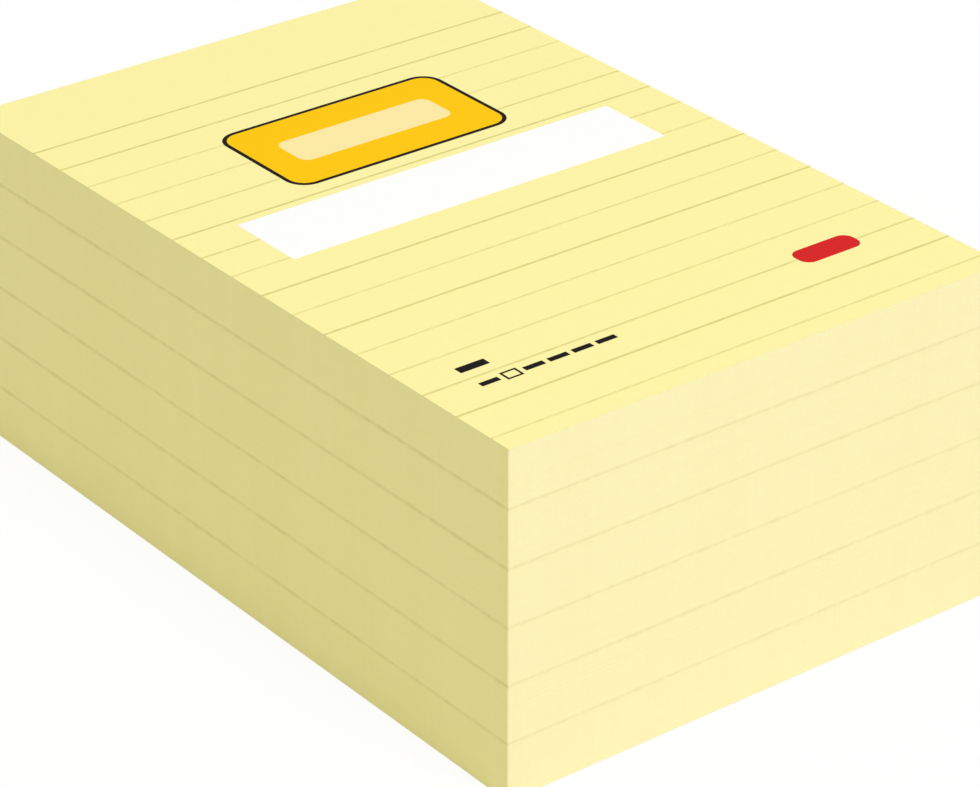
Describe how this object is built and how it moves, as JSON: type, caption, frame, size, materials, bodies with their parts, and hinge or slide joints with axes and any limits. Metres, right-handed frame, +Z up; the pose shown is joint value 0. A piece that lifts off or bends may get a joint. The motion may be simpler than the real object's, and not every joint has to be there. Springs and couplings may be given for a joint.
{
  "type": "sticky note pad",
  "caption": "Thick block of ruled yellow sticky notes, stacked as equal pads with flush cut edges, for writing on and peeling off.",
  "frame": {"origin": "centre of the bottom face, which the block stands on", "axes": "+Z up through the stack, +Y to the header edge that the sheets are glued at, +X to the reader's right"},
  "size_m": [0.101, 0.152, 0.0624],
  "materials": {
    "note_paper": "matt uncoated paper, cut edges",
    "printed_sheet": "matt uncoated paper",
    "backing_paper": "matt uncoated paper",
    "glue": "thin tacky film",
    "rule_ink": "matt printed line",
    "white_ink": "matt printed field",
    "amber_ink": "matt printed field",
    "cream_ink": "matt printed field",
    "dark_ink": "matt printed line",
    "red_ink": "matt printed field"
  },
  "bodies": {
    "root": {"notes_1": "note_paper", "glue_strip_1": "glue", "backing_sheet_1": "backing_paper", "notes_2": "note_paper", "glue_strip_2": "glue", "backing_sheet_2": "backing_paper", "notes_3": "note_paper", "glue_strip_3": "glue", "backing_sheet_3": "backing_paper", "notes_4": "note_paper", "glue_strip_4": "glue", "backing_sheet_4": "backing_paper", "notes_5": "note_paper", "glue_strip_5": "glue", "backing_sheet_5": "backing_paper", "notes_6": "note_paper", "glue_strip_6": "glue", "backing_sheet_6": "backing_paper", "top_sheet": "printed_sheet", "top_sheet_glue_strip": "glue", "ink_ruled_lines": "rule_ink", "ink_white_panel": "white_ink", "ink_amber_field": "amber_ink", "ink_cream_window": "cream_ink", "ink_dark_marks": "dark_ink", "ink_red_mark": "red_ink"}
  },
  "joints": []
}
